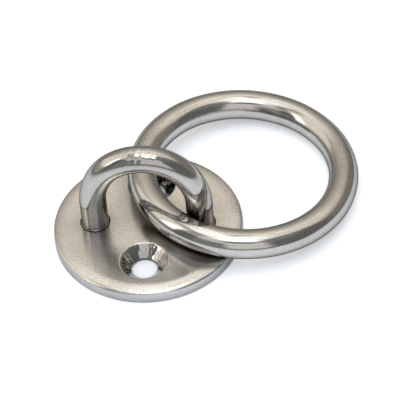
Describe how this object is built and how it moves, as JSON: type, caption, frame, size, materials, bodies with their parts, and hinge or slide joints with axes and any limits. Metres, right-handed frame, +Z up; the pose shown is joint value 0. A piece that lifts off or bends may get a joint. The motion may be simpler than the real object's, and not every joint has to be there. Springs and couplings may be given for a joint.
{
  "type": "ring pad eye",
  "caption": "Round pad eye: flat round plate with countersunk screw holes, welded round-rod eye and a loose ring captive in it.",
  "frame": {"origin": "centre of the plate's underside, midway between the two screw holes", "axes": "+Z up out of the plate, along the screws; X from leg to leg of the eye, +X towards the leg the ring lies round; the screw holes lie on Y"},
  "size_m": [0.0672, 0.0601, 0.0262],
  "materials": {
    "plate_steel": "tumbled satin polish",
    "rod_steel": "bright polish",
    "weld_steel": "ground and polished weld"
  },
  "bodies": {
    "base": {"base_plate": "plate_steel", "eye_bow": "rod_steel", "foot_bead_left": "weld_steel", "foot_bead_right": "weld_steel", "weld_plug_left": "weld_steel", "weld_plug_right": "weld_steel"},
    "ring": {"ring_rod": "rod_steel", "ring_weld": "rod_steel"}
  },
  "joints": [
    {"name": "ring_swing", "type": "hinge", "parent": "base", "child": "ring", "pos_m": [0.00166, 0.00109, 0.00722], "axis": [0.5472, -0.837, 0], "range_deg": [0, 189]}
  ]
}
